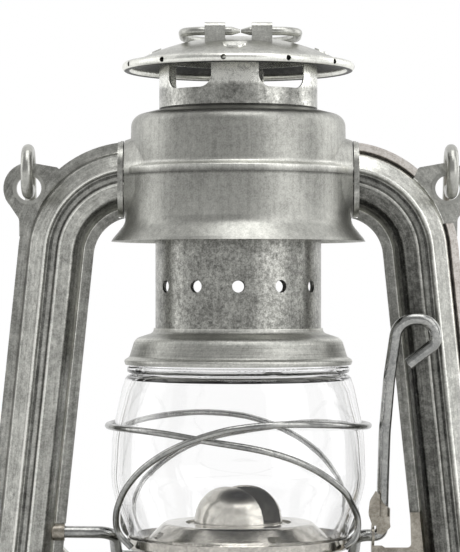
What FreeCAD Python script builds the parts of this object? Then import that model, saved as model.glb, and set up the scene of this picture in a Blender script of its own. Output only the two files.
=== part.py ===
import FreeCAD, Part
import math
import os

# A small tubular hurricane lantern: a fuel tank, two side tubes that carry air from the hood down
# to the burner, a glass globe on a plate that a bent wire lever lifts, a sprung chimney that the
# ring on its canopy pulls up, and a wire bail. Millimetres, +Z up, origin at the foot's centre,
# front towards -Y. The lever is on the right, at +X.

V = FreeCAD.Vector
O = V(0, 0, 0)
X = V(1, 0, 0)
Y = V(0, 1, 0)
Z = V(0, 0, 1)

# Sheet, wire and clearances
sheet = 0.45
tank_sheet = 0.6
wire = 3.0
guard_wire = 1.6
ring_wire = 2.1
slide_gap = 0.4
rest_gap = 0.3
running_gap = 0.05

# Fuel tank
foot_radius = 42.6
tank_radius = 46.6
tank_floor = 2.2
foot_slope = 1.2
tank_height = 14.0
lid_drop = 0.8
seam_height = 2.4
seam_width = 0.7
neck_radius = 9.5
neck_top = 36.0

# Air chamber cover over the tank
cover_ledge = 1.6
cover_step = 1.4
cover_foot = 44.2
shoulder_radius = 42.4
shoulder_height = 28.0
shoulder_round = 6.5
collar_radius = 12.2
cover_top = 36.6
collar_rise = 1.6

# Side tubes, along a centre line in the XZ plane
tube_top = 138.1
tube_start = 26.1
top_bend = 19.5
splay = 5.9
straight_length = 77.2
low_bend = 18.4
flange_edge = 9.0
inner_edge = 9.4
body_outer = 7.0
body_inner = 6.8
tube_depth = 6.6
valley_depth = 0.9
hem_width = 2.2
collar_height = 9.6
collar_depth = 7.8
collar_fold = 0.7
collar_reach = 29.9
duct_half_width = 5.6
duct_half_depth = 4.6

# Ears for the bail
ear_x = 52.3
ear_z = 135.9
ear_hole = 3.15
ear_radius = 6.4
eyelet_wall = 0.9
eyelet_length = 2.4
hem_clear = 8.8

# Hood
hood_top = 155.4
hood_fall = 1.7
hood_shoulder = 26.7
hood_round = 3.2
hood_waist = 27.0
hood_step = 139.1
bead_radius = 28.65
bead_height = 2.5
bead_slope = 0.9
skirt_lap = 1.1
flare_start = 127.1
flare_round = 4.0
rim_radius = 31.75
rim_height = 122.6
rim_slope = 0.75
guide_height = 126.6
guide_drop = 2.8
guide_lip = 2.0
socket_start = 22.0
socket_end = 28.3
socket_height = 9.7
socket_depth = 8.1
cap_swell = 15.5
skirt_swell = 17.2

# Chimney
chimney_radius = 20.7
chimney_bottom = 98.0
chimney_top = 128.0
air_hole = 1.55
air_hole_height = 111.4
air_holes = 12
cup_lip = 101.0
cup_top = 98.4
cup_wall = 27.2
cup_flare = 93.9
cup_rim = 28.6
cup_bottom = 91.9
sleeve_radius = 19.3
sleeve_bottom = 118.0

# Crown and canopy
crown_lift = 0.4
window_bottom = 159.9
window_top = 167.6
window_turn = 37.0
window_half = 20.0
crown_turn = -92.7
canopy_top = 173.7
dome_radius = 55.7
canopy_edge = 27.0
canopy_rim = 29.0
rim_roll = 1.15
rim_middle = 166.1
rim_hole = 0.65
rim_hole_turns = (-129.8, -97.3, -65.5, -36, -7, 23, 53, 82.5, 112.3, 142, 172, 201)
tab_radius = 3.0

# Ring on the canopy and its straps
ring_side = 14.2
ring_shift = 0.5
ring_front = 13.6
ring_rise = 0.1
ring_corner = 5.2
ring_tip = 2.2
strap_width = 5.0
strap_place = 5.75
strap_rise = 2.1
strap_sheet = 0.4

# Globe and its plate
plate_radius = 27.75
plate_rim = 49.0
plate_floor = 46.6
plate_channel = 24.8
plate_cone = 18.4
plate_deck = 52.8
plate_hole = 13.2
vents = 4
vent_width = 3.6
vent_rise = 1.5
vent_height = 50.2
vent_turn = -66.0
globe_wall = 1.8
globe_foot = 25.7
globe_waist = 31.9
globe_neck = 25.6
lip_radius = 27.8
globe_top = 96.9

# Lift wire, lever and the clasp on it
pivot_height = 50.1
crank_left = 30.9
crank_right = 29.4
crank_length = 16.5
crank_angle = 27.0
left_end = 50.0
lever_x = 35.9
lever_tilt = 11.0
lever_lean = 0.6
clip_x = 16.0
clip_sheet = 1.0
clasp_sheet = 0.45
flank_x = 33.3
flank_sheet = 0.6
flank_round = 2.7
bracket_sheet = 0.8
bearing_wall = 0.65
bearing_length = 4.7

# Guard wires round the globe
guard_gap = 0.2
guard_cross = 1.8
guard_bend = 120.0

# Burner
burner_radius = 11.2
burner_foot = 12.65
dome_base = 11.0
dome_round = 9.2
dome_top = 61.75
dome_flange = 12.3
dome_seat = 52.3
slot_turn = -36.0
slot_width = 7.4
slot_bottom = 53.1
draught_holes = 12
draught_hole = 1.3
draught_height = 47.0
wick_width = 9.0
wick_thick = 1.8
wick_top = 58.6
wick_bottom = 9.6
wick_gap = 0.3
wick_tube_top = 56.5
wick_tube_bottom = 30.0
holder_radius = 10.7
spindle_height = 41.5
spindle_radius = 0.9
spindle_inside = 5.5
gland_radius = 2.0
gland_end = 15.0
wheel_radius = 3.2
wheel_teeth = 12
wheel_place = 2.6
wheel_thick = 1.2
knob_reach = 31.6
knob_radius = 5.0
knob_thick = 2.6
knob_notches = 18

# Filler
filler_inset = 13.6
filler_turn = -140.0
filler_radius = 6.0
filler_wall = 0.6
filler_top = 36.6
cap_radius = 7.6
cap_bottom = 34.0
cap_notches = 20
gasket = 1.0
gasket_gap = 0.1

# Bail
bail_x = 52.85
eye_start = -65.0
eye_bend = 90.0
eye_bends = 3
eye_end = -360.0
bail_shift = 0.35
bail_pivot = 140.1
eye_radius = 5.375
seat_turn = 60.0
bail_corner = 24.0
bail_crown = 8.0
bail_crown_round = 150.0

# Chimney spring
spring_wire = 0.9
spring_turns = 4


# Points, outlines and sweeps
def at(a, b):
    """A point of the XZ plane."""
    return V(a, 0, b)


def polar(radius, degrees, height=0.0):
    """A point at a radius, a turn from +X and a height."""
    angle = math.radians(degrees)
    return V(radius * math.cos(angle), radius * math.sin(angle), height)


def split(points):
    """Each point as a pair of a vector and its corner radius."""
    return [p if isinstance(p, tuple) else (p, 0.0) for p in points]


def rounded(points):
    """Edges through the points, where a corner with a radius gets a tangent arc."""
    spots = split(points)
    edges = []
    last = spots[0][0]
    for i in range(1, len(spots) - 1):
        spot, radius = spots[i]
        before = (spot - spots[i - 1][0]).normalize()
        after = (spots[i + 1][0] - spot).normalize()
        turn = before.getAngle(after)
        start = spot
        end = spot
        if radius > 0.0 and turn > 1e-4:
            reach = radius * math.tan(turn / 2)
            start = spot - before * reach
            end = spot + after * reach
        if (start - last).Length > 1e-5:
            edges.append(Part.makeLine(last, start))
        if radius > 0.0 and turn > 1e-4:
            middle = spot + (after - before).normalize() * (radius / math.cos(turn / 2) - radius)
            edges.append(Part.Arc(start, middle, end).toShape())
        last = end
    if (spots[-1][0] - last).Length > 1e-5:
        edges.append(Part.makeLine(last, spots[-1][0]))
    return edges


def beside(points, distance):
    """An open outline of the XZ plane moved to the left of its direction."""
    spots = split(points)
    moved = []
    for i, (spot, radius) in enumerate(spots):
        before = (spot - spots[i - 1][0]).normalize() if i > 0 else None
        after = (spots[i + 1][0] - spot).normalize() if i < len(spots) - 1 else None
        first = before or after
        second = after or before
        left = V(-first.z, 0, first.x)
        right = V(-second.z, 0, second.x)
        shift = (left + right) * (distance / (1 + left.dot(right)))
        turn = first.x * second.z - first.z * second.x
        changed = radius - distance if turn > 0 else radius + distance
        moved.append((spot + shift, max(changed, 0.0) if radius > 0 else 0.0))
    return moved


def face_of(edges):
    """A face bounded by edges in order."""
    return Part.Face(Part.Wire(edges))


def polygon(points):
    """A flat face with straight or rounded corners, closed back to its first point."""
    spots = split(points)
    middle = (spots[0][0] + spots[-1][0]) * 0.5
    return face_of(rounded([middle] + list(points) + [middle]))


def strip(points, thickness):
    """A face of even thickness to the left of an open outline, or right if negative."""
    other = beside(points, thickness)
    start = split(points)[0][0]
    end = split(points)[-1][0]
    edges = rounded(points)
    edges.append(Part.makeLine(end, other[-1][0]))
    edges += rounded(list(reversed(other)))
    edges.append(Part.makeLine(other[0][0], start))
    return face_of(edges)


def turned(face):
    """A face of the XZ plane turned once round the lantern's axis."""
    return face.revolve(O, Z, 360)


def spun(points, thickness):
    """Spun sheet metal of even thickness round the axis."""
    return turned(strip(points, thickness))


def filled(points):
    """The solid between an open outline and the axis."""
    first = split(points)[0][0]
    last = split(points)[-1][0]
    edges = rounded(points)
    if last.x > 1e-6:
        edges.append(Part.makeLine(last, at(0, last.z)))
    edges.append(Part.makeLine(at(0, last.z), at(0, first.z)))
    if first.x > 1e-6:
        edges.append(Part.makeLine(at(0, first.z), first))
    return turned(face_of(edges))


def rod(start, end, radius):
    """A round bar between two points."""
    return Part.makeCylinder(radius, (end - start).Length, start, end - start)


def pipe(inner, outer, low, high, centre=O):
    """An upright tube."""
    base = V(centre.x, centre.y, low)
    tube = Part.makeCylinder(outer, high - low, base)
    return tube.cut(Part.makeCylinder(inner, high - low, base))


def block(low, high):
    """A box between two corners."""
    size = high - low
    return Part.makeBox(size.x, size.y, size.z, low)


def plate(points, low, high):
    """A flat outline of the XZ plane, thick from one depth to another."""
    face = polygon(points)
    face.translate(V(0, low, 0))
    return face.extrude(V(0, high - low, 0))


def bent(points, radius):
    """Round wire swept along straight runs and tangent arcs."""
    edges = rounded(points)
    start = edges[0].valueAt(edges[0].FirstParameter)
    direction = edges[0].tangentAt(edges[0].FirstParameter)
    profile = Part.Wire(Part.makeCircle(radius, start, direction))
    return Part.Wire(edges).makePipeShell([profile], True, False)


def rotated(shape, degrees, centre=O, axis=Z):
    """A copy of a shape turned about an axis."""
    copy = shape.copy()
    copy.rotate(centre, axis, degrees)
    return copy


def ring_of(shape, count, first=0.0):
    """Even copies of a shape round the lantern's axis."""
    return [rotated(shape, first + i * 360.0 / count) for i in range(count)]


def joined(shapes):
    """Touching or overlapping shapes made one."""
    return shapes[0].fuse(shapes[1:]).removeSplitter()


# Fuel tank and air chamber
def tank_outline():
    """The tank's outer face, from the middle of its floor to the top of its wall."""
    foot_inside = foot_radius - tank_sheet
    foot_outside = tank_radius - foot_slope
    return [
        at(0, tank_floor),
        (at(foot_inside, tank_floor), 0.5),
        (at(foot_radius, 0), 0.5),
        (at(foot_outside, 0), 1.0),
        (at(tank_radius, foot_slope * 1.5), 1.0),
        at(tank_radius, tank_height)]


def cover_outline():
    """The air chamber's outer face, from the tank's seam to the burner collar."""
    ledge = tank_height + cover_ledge
    collar = collar_radius + sheet
    return [
        at(tank_radius, tank_height),
        (at(tank_radius, ledge), 1.0),
        (at(cover_foot, ledge + cover_step), 1.0),
        (at(shoulder_radius, shoulder_height), shoulder_round),
        (at(collar, cover_top), 1.0),
        at(collar, cover_top + collar_rise)]


def make_tank(parts):
    lid = tank_height - lid_drop
    filler = polar(tank_radius - filler_inset, filler_turn)
    parts["tank_pan"] = spun(tank_outline(), tank_sheet)
    disc = pipe(neck_radius - tank_sheet, tank_radius - tank_sheet, lid - tank_sheet, lid)
    neck = pipe(neck_radius - tank_sheet, neck_radius, lid - tank_sheet, neck_top)
    pour = Part.makeCylinder(filler_radius - filler_wall, 2 * tank_height, filler)
    parts["tank_lid"] = joined([disc, neck]).cut(pour)
    seam_low = tank_height - seam_height / 2
    seam_high = tank_height + seam_height / 2
    seam_out = tank_radius + seam_width
    seam = polygon([at(tank_radius, seam_low), (at(seam_out, seam_low), 0.3),
                    (at(seam_out, seam_high), 0.3), at(tank_radius, seam_high)])
    parts["tank_seam"] = turned(seam)
    cover = spun(cover_outline(), sheet)
    cover = cover.cut(Part.makeCylinder(filler_radius, 3 * tank_height, filler))
    reach = tank_radius - shoulder_radius + 2
    duct = block(V(shoulder_radius - reach, -duct_half_depth, entry_height() - duct_half_width),
                 V(tank_radius, duct_half_depth, entry_height() + duct_half_width - 1))
    parts["air_chamber_cover"] = cover.cut([duct, rotated(duct, 180)])


def make_filler(parts):
    centre = polar(tank_radius - filler_inset, filler_turn)
    lid = tank_height - lid_drop
    parts["filler_neck"] = pipe(filler_radius - filler_wall, filler_radius, lid, filler_top, centre)
    seal_low = filler_top + gasket_gap
    seal_high = seal_low + gasket
    bore = filler_radius + rest_gap
    parts["filler_gasket"] = pipe(filler_radius - 3 * filler_wall, bore - running_gap, seal_low, seal_high, centre)
    cap = Part.makeCylinder(cap_radius, seal_high + sheet - cap_bottom, V(centre.x, centre.y, cap_bottom))
    rim = cap.Edges[0]
    for edge in cap.Edges:
        if edge.BoundBox.ZMin > seal_high and edge.BoundBox.ZLength < 1e-6:
            rim = edge
    cap = cap.makeFillet(sheet, [rim])
    cap = cap.cut(Part.makeCylinder(bore, seal_high - cap_bottom, V(centre.x, centre.y, cap_bottom)))
    notch = rod(V(cap_radius + 0.25, 0, cap_bottom), V(cap_radius + 0.25, 0, seal_high - 0.6), 0.5)
    notches = ring_of(notch, cap_notches)
    for groove in notches:
        groove.translate(centre)
    parts["filler_cap"] = cap.cut(notches)


# Side tubes
def half_outline():
    """Outer face of one pressed tube half, from its outer flange to its inner flange: how far
    it lies from the centre line, and how deep it is pressed."""
    valley = tube_depth - valley_depth
    return [
        at(flange_edge, sheet),
        (at(body_outer, sheet), 0.4),
        (at(body_outer - 0.7, tube_depth * 0.5), 1.6),
        (at(2.5, tube_depth), 0.7),
        (at(1.6, valley), 0.3),
        (at(-0.3, valley), 0.3),
        (at(-1.0, tube_depth - 0.2), 0.5),
        (at(-4.7, tube_depth * 0.83), 1.6),
        (at(0.5 - body_inner, tube_depth * 0.4), 1.0),
        (at(-body_inner, sheet), 0.4),
        at(-inner_edge, sheet)]


def closed(outline):
    """The face between a tube half's outline and the plane where the halves meet."""
    first = split(outline)[0][0]
    last = split(outline)[-1][0]
    return face_of(rounded(outline) + [
        Part.makeLine(last, at(last.x, 0)), Part.makeLine(at(last.x, 0), at(first.x, 0)),
        Part.makeLine(at(first.x, 0), first)])


def set_section(face, side):
    """A section face placed where the tube leaves the hood, on the front (-1) or back (1)."""
    matrix = FreeCAD.Matrix(0, side, 0, tube_start, 0, 0, side, 0, 1, 0, 0, tube_top, 0, 0, 0, 1)
    copy = face.copy()
    copy.Placement = FreeCAD.Placement(matrix)
    return copy


def entry_height():
    """Height of the centre line where a tube enters the air chamber."""
    slope = math.radians(splay)
    bend_end = tube_top - top_bend + top_bend * math.sin(slope)
    low_start = bend_end - straight_length * math.cos(slope)
    return low_start - low_bend * math.sin(slope) - low_bend


def line_at(height):
    """Distance of the straight centre line from the lantern's axis at a height."""
    slope = math.radians(splay)
    start = V(tube_start + top_bend * math.cos(slope), 0, tube_top - top_bend + top_bend * math.sin(slope))
    return start.x + (start.z - height) * math.tan(slope)


def swept(section):
    """A section carried along the whole centre line of the right tube."""
    slope = math.radians(splay)
    top_centre = at(tube_start, tube_top - top_bend)
    down = V(math.sin(slope), 0, -math.cos(slope))
    lead = section.copy()
    lead.translate(X * (sleeve_radius - tube_start))
    runs = [lead.extrude(X * (tube_start - sleeve_radius))]
    runs.append(section.revolve(top_centre, Y, 90 - splay))
    middle = rotated(section, 90 - splay, top_centre, Y)
    runs.append(middle.extrude(down * straight_length))
    middle.translate(down * straight_length)
    low_centre = at(line_at(entry_height() + low_bend * (1 + math.sin(slope)))
                    - low_bend * math.cos(slope), entry_height() + low_bend)
    runs.append(middle.revolve(low_centre, Y, 90 + splay))
    last = rotated(middle, 90 + splay, low_centre, Y)
    runs.append(last.extrude(X * -(low_centre.x - collar_radius - sheet)))
    return joined(runs)


def ear_plate(low, high):
    """One sheet of the lug that carries the bail."""
    reach = flange_edge + 0.4
    lug = plate([at(ear_x - 9, ear_z + 3.6), at(ear_x - 7, ear_z + 5.25),
                 at(ear_x - 1.4, ear_z + ear_radius - 0.15), at(ear_x + 5.9, ear_z - 2.6),
                 (at(ear_x + 2.45, ear_z - 7.7), 2.0), at(ear_x + 2.4, ear_z - 12),
                 at(ear_x - 0.3, ear_z - reach - 2.6), at(ear_x - 4.3, ear_z - 3.9)], low, high)
    disc = Part.makeCylinder(ear_radius, high - low, V(ear_x, low, ear_z), Y)
    return joined([lug, disc])


def make_tubes(parts, hood_solid, cover_solid):
    ear = V(ear_x, 0, ear_z)
    eyelet_radius = ear_hole + eyelet_wall
    pin_hole = rod(ear - Y * 5, ear + Y * 5, eyelet_radius)
    outline = half_outline()
    halves = {}
    cores = []
    for name, side in (("front", -1), ("back", 1)):
        shell = swept(set_section(strip(outline, sheet), side))
        fill = swept(set_section(closed(outline), side))
        cores.append(swept(set_section(closed(outline[1:-1]), side)))
        low, high = sorted((0.0, side * sheet))
        halves[name] = [shell, ear_plate(low, high).cut(fill)]
    hem = polygon([at(flange_edge, -sheet), at(flange_edge + sheet, -sheet),
                   at(flange_edge + sheet, 2 * sheet), at(flange_edge + sheet - hem_width, 2 * sheet),
                   at(flange_edge + sheet - hem_width, sheet), at(flange_edge, sheet)])
    hem = swept(set_section(hem, -1)).cut(rod(ear - Y * 5, ear + Y * 5, hem_clear))
    halves["back"].append(hem)
    full = oval(socket_end, collar_height, collar_depth).extrude(X * (collar_reach - socket_end))
    collar = joined([
        oval(socket_end + rest_gap, collar_height, collar_depth).extrude(X * collar_fold),
        oval(collar_reach - collar_fold, collar_height - 0.2, collar_depth - 0.3).extrude(X * collar_fold)])
    trim = [hood_solid, cover_solid, pin_hole, full.cut(cores)]
    right = {name: joined(group).cut(trim) for name, group in halves.items()}
    right["front"] = right["front"].cut(hem)
    bearing = leaned(rod(V(-bearing_start() + 1, 0, pivot_height),
                         V(-bearing_start() - bearing_length, 0, pivot_height),
                         wire / 2 + running_gap + bearing_wall))
    parts["right_tube_front"] = right["front"]
    parts["right_tube_back"] = right["back"]
    parts["left_tube_front"] = rotated(right["back"], 180).cut(bearing)
    parts["left_tube_back"] = rotated(right["front"], 180).cut(bearing)
    collar = collar.cut(cores)
    parts["right_tube_collar"] = collar
    parts["left_tube_collar"] = rotated(collar, 180)
    eyelet = rod(ear - Y * (eyelet_length / 2), ear + Y * (eyelet_length / 2), eyelet_radius)
    eyelet = eyelet.cut(rod(ear - Y * 5, ear + Y * 5, ear_hole))
    parts["ear_eyelets"] = Part.Compound([eyelet, rotated(eyelet, 180)])


def bearing_start():
    """Where the lift wire enters the left tube's inner flange."""
    return line_at(pivot_height) - inner_edge


# Hood
def cap_outline():
    """Outer face of the hood's upper shell."""
    bead = hood_step + bead_height
    return [
        at(sleeve_radius + slide_gap, hood_top),
        (at(hood_shoulder, hood_top - hood_fall), hood_round),
        (at(hood_waist, bead), 0.8),
        (at(bead_radius, bead - bead_slope), 0.5),
        at(bead_radius, hood_step)]


def skirt_outline():
    """Outer face of the hood's lower shell, which is tucked under the upper one's bead."""
    skirt_radius = bead_radius - sheet
    return [
        at(skirt_radius, hood_step + skirt_lap),
        (at(skirt_radius, flare_start), flare_round),
        (at(rim_radius - 0.45, rim_height + rim_slope), 0.4),
        at(rim_radius, rim_height)]


def oval(reach, half_height, half_depth):
    """A rounded face square to X, at a reach from the axis, where the right tube leaves the hood."""
    radius = 0.9 * min(half_height, half_depth)
    face = polygon([(at(-half_height, -half_depth), radius), (at(half_height, -half_depth), radius),
                    (at(half_height, half_depth), radius), (at(-half_height, half_depth), radius)])
    face = set_section(face, 1)
    face.translate(X * (reach - tube_start))
    return face


def bulges(half_depth, inset):
    """Where the hood's wall swells towards the two tubes, or what is hollow in it."""
    first = oval(socket_start, socket_height + 1.8 - inset, half_depth - inset)
    last = oval(socket_end - inset, socket_height - inset, socket_depth - inset)
    bulge = Part.makeLoft([first.OuterWire, last.OuterWire], True, True)
    return bulge.fuse(rotated(bulge, 180))


def hood_solids(inset):
    """The hood's upper and lower shells as full solids, or what is hollow in them, with the
    swellings of the upper one."""
    above = Part.makeCylinder(2 * rim_radius, hood_top, V(0, 0, hood_step))
    swelling = bulges(cap_swell, inset).common(above)
    cap = filled(beside(cap_outline(), -inset)).fuse(swelling)
    skirt = filled(beside(skirt_outline(), -inset)).fuse(bulges(skirt_swell, inset).cut(above))
    return [cap, skirt, swelling]


def make_hood(parts, cap, skirt, swelling):
    duct = block(V(sleeve_radius, -duct_half_depth, tube_top - duct_half_width),
                 V(rim_radius, duct_half_depth, tube_top + duct_half_width))
    ducts = [duct, rotated(duct, 180)]
    cap_hollow, skirt_hollow = hood_solids(sheet)[:2]
    throat = Part.makeCylinder(sleeve_radius + slide_gap, 2, V(0, 0, hood_top - 1))
    parts["hood_cap"] = cap.cut([cap_hollow, throat] + ducts)
    parts["hood_skirt"] = skirt.cut([skirt_hollow, swelling] + ducts)
    wall = bead_radius - 2 * sheet
    collar = chimney_radius + slide_gap
    guide_seat = guide_height + guide_drop
    guide = [
        at(wall, guide_seat + 1.5),
        (at(wall, guide_seat), 0.6),
        (at(collar + 4, guide_height), 1.0),
        (at(collar + sheet, guide_height), 0.6),
        at(collar + sheet, guide_height - guide_lip)]
    parts["chimney_guide"] = spun(guide, -sheet)
    coil_radius = chimney_radius - spring_wire / 2 + 0.35
    low = chimney_top + spring_wire / 2 + rest_gap
    under = hood_fall * (coil_radius + spring_wire - sleeve_radius) / (hood_shoulder - sleeve_radius)
    high = hood_top - under - sheet - spring_wire / 2 - rest_gap
    step = 45.0
    count = int(spring_turns * 360 / step)
    corner = coil_radius / math.cos(math.radians(step / 2))
    route = [polar(corner, i * step, low + (high - low) * i / count) for i in range(count + 1)]
    reach = (route[1] - route[0]).Length / 2
    turn = (route[1] - route[0]).getAngle(route[2] - route[1])
    bend = reach / math.tan(turn / 2) * 0.9999
    route = [route[0]] + [(p, bend) for p in route[1:-1]] + [route[-1]]
    parts["chimney_spring"] = bent(route, spring_wire / 2)
    spots = [coil_radius * math.cos(math.radians(a)) for a in (0, 360)]
    pitch = (high - low) / spring_turns
    gap = pitch * math.cos(math.atan(pitch / (2 * math.pi * coil_radius))) - spring_wire
    print("least gap between the spring's turns", round(gap + abs(spots[0] - spots[1]), 3))


# Chimney, crown and canopy, which slide up together
def make_chimney(parts):
    tube = [
        at(chimney_radius, chimney_bottom),
        (at(chimney_radius, chimney_top), 0.6),
        at(sleeve_radius, chimney_top)]
    hole = rod(at(sleeve_radius, air_hole_height), at(chimney_radius + 1, air_hole_height), air_hole)
    parts["chimney_tube"] = spun(tube, sheet).cut(ring_of(hole, air_holes, -90))
    cup = [
        at(chimney_radius + sheet, cup_lip),
        (at(chimney_radius + sheet, cup_top + 1.5), 1.2),
        (at(cup_wall - 1.4, cup_top), 2.4),
        (at(cup_wall, cup_flare), 0.8),
        (at(cup_rim, cup_flare - 0.9), 0.6),
        at(cup_rim - 0.4, cup_bottom)]
    parts["chimney_cup"] = spun(cup, -sheet)
    parts["draught_sleeve"] = pipe(sleeve_radius - sheet, sleeve_radius, sleeve_bottom,
                                   window_bottom - 0.2)


def dome_height(radius):
    """Height of the canopy's upper face."""
    return canopy_top - dome_radius + math.sqrt(dome_radius ** 2 - radius ** 2)


def dome_outline(raise_by=0.0):
    """The canopy's upper face, from its apex to the rolled rim."""
    size = dome_radius + raise_by
    half = math.asin(canopy_edge / dome_radius) / 2
    corner = at(size * math.tan(half), canopy_top + raise_by)
    edge = at(size * math.sin(2 * half), canopy_top - dome_radius + size * math.cos(2 * half))
    return [at(0, canopy_top + raise_by), (corner, size), edge]


def make_crown(parts):
    crown_radius = sleeve_radius + sheet
    crown_bottom = hood_top + crown_lift
    under = filled(dome_outline(-sheet) + [at(canopy_edge, crown_bottom)])
    band = pipe(sleeve_radius, crown_radius, crown_bottom, canopy_top).common(under)
    opening = crown_radius * math.sin(math.radians(window_half))
    window = plate([at(-opening, window_top), (at(-opening, window_bottom), 3.0),
                    (at(opening, window_bottom), 3.0), at(opening, window_top)],
                   -crown_radius - 1, crown_radius + 1)
    band = band.cut([rotated(window, crown_turn + 90 + side * window_turn) for side in (-1, 1)])
    through = pipe(sleeve_radius, crown_radius, window_top, canopy_top + 1)
    slab = block(V(sleeve_radius - 1, -tab_radius + 0.3, window_top),
                 V(crown_radius + 1, tab_radius - 0.3, canopy_top + 1))
    lifted = filled(dome_outline(sheet) + [at(canopy_edge, window_bottom)])
    dome = filled(dome_outline() + [at(canopy_edge, window_bottom)])
    stem = through.common(slab).common(lifted)
    disc = Part.makeCylinder(tab_radius, 10, V(sleeve_radius + 0.2, 0, window_top))
    disc = disc.common(block(V(sleeve_radius, -tab_radius, window_top),
                             V(sleeve_radius + 9, tab_radius, canopy_top + 1)))
    tab = disc.common(lifted.cut(dome))
    stems = ring_of(stem, 4, crown_turn)
    tabs = ring_of(tab, 4, crown_turn)
    parts["crown"] = joined([band] + stems + tabs)
    shell = spun(dome_outline(), -sheet)
    roll = Part.Face(Part.Wire(Part.makeCircle(rim_roll, at(canopy_rim - rim_roll, rim_middle), Y)))
    hollow = Part.Face(Part.Wire(Part.makeCircle(rim_roll - sheet, at(canopy_rim - rim_roll, rim_middle), Y)))
    rim = turned(roll).cut(turned(hollow))
    shell = shell.cut(turned(hollow))
    hole = rod(at(canopy_rim - rim_roll, rim_middle), at(canopy_rim + 1, rim_middle), rim_hole)
    canopy = joined([shell, rim]).cut(stems).cut([rotated(hole, turn) for turn in rim_hole_turns])
    parts["canopy"] = canopy
    make_ring(parts, dome)


def make_ring(parts, dome):
    ring_height = canopy_top + ring_rise
    strap_top = ring_height + strap_rise
    reach = ring_wire / 2 + 0.35 + strap_sheet
    leg = dome_height(ring_front + reach) - 2
    outline = [at(-ring_front - reach, leg), (at(-ring_front - reach, strap_top), 1.3),
               (at(-ring_front + reach, strap_top), 1.3), at(-ring_front + reach, leg)]
    band = strip(outline, -strap_sheet)
    straps = []
    for side in (-1, 1):
        strap = band.copy()
        strap.translate(Y * (side * strap_place - strap_width / 2))
        strap = strap.extrude(Y * strap_width)
        straps.append(rotated(strap, 90).cut(dome))
    parts["ring_straps"] = Part.Compound(straps)
    side = ring_side
    loop = bent([V(ring_tip, -ring_front, ring_height),
                 (V(side, -ring_front, ring_height), ring_corner),
                 (V(side, side, ring_height), side - 0.05),
                 (V(-side, side, ring_height), side - 0.05),
                 (V(-side, -ring_front, ring_height), ring_corner),
                 V(-ring_tip, -ring_front, ring_height)], ring_wire / 2)
    tips = [Part.makeCone(ring_wire / 2, ring_wire / 5, ring_tip - 0.1,
                          V(sign * ring_tip, -ring_front, ring_height), X * -sign)
            for sign in (-1, 1)]
    ring = joined([loop] + tips)
    ring.translate(X * ring_shift)
    parts["top_ring"] = ring


# Globe, plate and guard, which the lever lifts
def globe_outline():
    """The globe's outer face, from its foot to the top of its neck."""
    return [
        at(globe_foot, plate_floor + 0.5),
        (at(globe_foot + 1.4, plate_floor + 2.4), 3.0),
        (at(globe_waist, plate_floor + 14.9), 20.0),
        (at(globe_waist - 0.5, plate_floor + 28.6), 30.0),
        (at(globe_waist - 2.95, plate_floor + 39.9), 12.0),
        (at(globe_neck + 2.4, plate_floor + 42.5), 1.8),
        (at(globe_neck, plate_floor + 43.6), 0.8),
        at(globe_neck, globe_top)]


def globe_radius(height):
    """Radius of the globe's outline at a height, without its rounding."""
    spots = [p for p, r in split(globe_outline())]
    for low, high in zip(spots, spots[1:]):
        if low.z <= height <= high.z:
            share = (height - low.z) / (high.z - low.z)
            return low.x + (high.x - low.x) * share
    return globe_foot


def guard_route():
    """One guard wire: up from the rim at the right front, round the left and back to the rim."""
    rim = plate_radius + guard_wire / 2 + 0.1
    low = plate_floor + 0.7
    lean = [
        (-24.0, low, rim), (-21.5, low + 1.9, rim + 1.95), (-20.5, low + 4.6, rim + 2.65),
        (-22.5, low + 7.6, rim + 2.85)]
    hug = [
        (-28.3, 57.7, 0.15), (-38.2, 61.4, 0), (-46.4, 64.4, 0), (-54.9, 67.1, 0), (-64.6, 69.6, 0),
        (-75.1, 71.6, 0), (-85.9, 73.0, 0), (-98.1, 74.1, 0), (-108.8, 75.0, 0), (-120.5, 75.9, 0),
        (-134.8, 76.5, 0), (-157.0, 76.7, 0), (-180.0, 76.7, 0.25), (-200.0, 77.0, 0.1), (-222.0, 77.8, 0.3),
        (-241.0, 78.4, 0.8), (-253.5, 78.5, 1), (-264.5, 78.1, 1), (-274.1, 77.3, 1), (-281.8, 76.1, 1),
        (-289.8, 74.5, 0.9), (-300.4, 71.8, 0.7), (-314.2, 67.2, 0.45), (-327.0, 61.4, 0.2)]
    rejoin = [(-334.6, 55.9, rim + 4.4), (-339.6, 50.9, rim + 2.75), (-336.3, low, rim)]
    around = []
    for turn, height, outer in hug:
        radius = globe_radius(height) + guard_wire / 2 + guard_gap + outer * guard_cross
        around.append((turn, height, radius))
    return through([polar(radius, turn, height) for turn, height, radius in lean + around + rejoin])


def through(points):
    """A route of corners and radii whose bends pass through the points."""
    corners = list(points)
    for _ in range(12):
        radii = []
        for i in range(1, len(points) - 1):
            before = corners[i] - corners[i - 1]
            after = corners[i + 1] - corners[i]
            half = before.getAngle(after) / 2
            reach = min(0.47 * min(before.Length, after.Length), guard_bend * math.tan(half))
            inward = (after / after.Length - before / before.Length).normalize()
            middle = corners[i] + inward * (reach * math.tan(half / 2))
            corners[i] = corners[i] + (points[i] - middle)
            radii.append(reach / math.tan(half))
    inner = [(corner, 0.98 * radius) for corner, radius in zip(corners[1:-1], radii)]
    return [corners[0]] + inner + [corners[-1]]


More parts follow.
